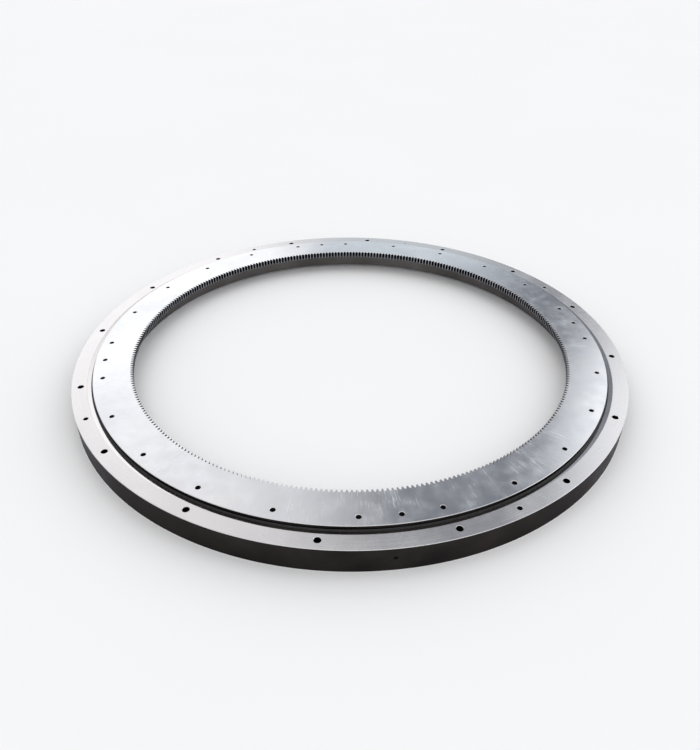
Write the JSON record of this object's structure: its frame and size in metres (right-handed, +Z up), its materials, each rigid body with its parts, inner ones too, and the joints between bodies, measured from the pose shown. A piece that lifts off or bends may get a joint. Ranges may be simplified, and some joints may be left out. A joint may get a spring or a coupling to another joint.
{
  "type": "slewing ring bearing",
  "caption": "Large flat slewing ring: a toothed inner ring that turns inside a bolted outer ring on a row of balls, sealed at both gaps.",
  "frame": {"origin": "on the axis of rotation, in the outer ring's lower mounting face", "axes": "+Z up along the axis of rotation, towards the raised face of the inner ring; -Y towards the side nearest the viewer"},
  "size_m": [1.755, 1.755, 0.084],
  "materials": {
    "outer_ring_steel": "turned satin top, dark oiled rim",
    "inner_ring_steel": "ground and oiled, with light handling marks",
    "seal_rubber": "satin black",
    "plug_steel": "turned",
    "pin_steel": "ground",
    "grease_plug_steel": "black oxide",
    "ball_steel": "polished",
    "spacer_plastic": "natural nylon"
  },
  "bodies": {
    "outer": {"outer_ring": "outer_ring_steel", "upper_seal": "seal_rubber", "loading_plug": "plug_steel", "taper_pin": "pin_steel", "grease_plug_1": "grease_plug_steel", "grease_plug_2": "grease_plug_steel", "grease_plug_3": "grease_plug_steel", "grease_plug_4": "grease_plug_steel"},
    "inner": {"inner_ring": "inner_ring_steel", "lower_seal": "seal_rubber"},
    "rolling_set": {"ball_1": "ball_steel", "ball_2": "ball_steel", "ball_3": "ball_steel", "ball_4": "ball_steel", "ball_5": "ball_steel", "ball_6": "ball_steel", "ball_7": "ball_steel", "ball_8": "ball_steel", "ball_9": "ball_steel", "ball_10": "ball_steel", "ball_11": "ball_steel", "ball_12": "ball_steel", "ball_13": "ball_steel", "ball_14": "ball_steel", "ball_15": "ball_steel", "ball_16": "ball_steel", "ball_17": "ball_steel", "ball_18": "ball_steel", "spacer_1": "spacer_plastic", "spacer_2": "spacer_plastic", "spacer_3": "spacer_plastic", "spacer_4": "spacer_plastic", "spacer_5": "spacer_plastic", "spacer_6": "spacer_plastic", "spacer_7": "spacer_plastic", "spacer_8": "spacer_plastic", "spacer_9": "spacer_plastic", "spacer_10": "spacer_plastic", "spacer_11": "spacer_plastic", "spacer_12": "spacer_plastic", "spacer_13": "spacer_plastic", "spacer_14": "spacer_plastic", "spacer_15": "spacer_plastic", "spacer_16": "spacer_plastic", "spacer_17": "spacer_plastic", "spacer_18": "spacer_plastic"}
  },
  "joints": [
    {"name": "inner_ring_rotation", "type": "hinge", "parent": "outer", "child": "inner", "pos_m": [0, 0, 0.042], "axis": [0, 0, 1], "continuous": true},
    {"name": "rolling_set_rotation", "type": "hinge", "parent": "outer", "child": "rolling_set", "pos_m": [0, 0, 0.042], "axis": [0, 0, 1], "continuous": true}
  ],
  "couplings": [
    {"joint": "rolling_set_rotation", "follows": "inner_ring_rotation", "ratio": 0.4935}
  ]
}
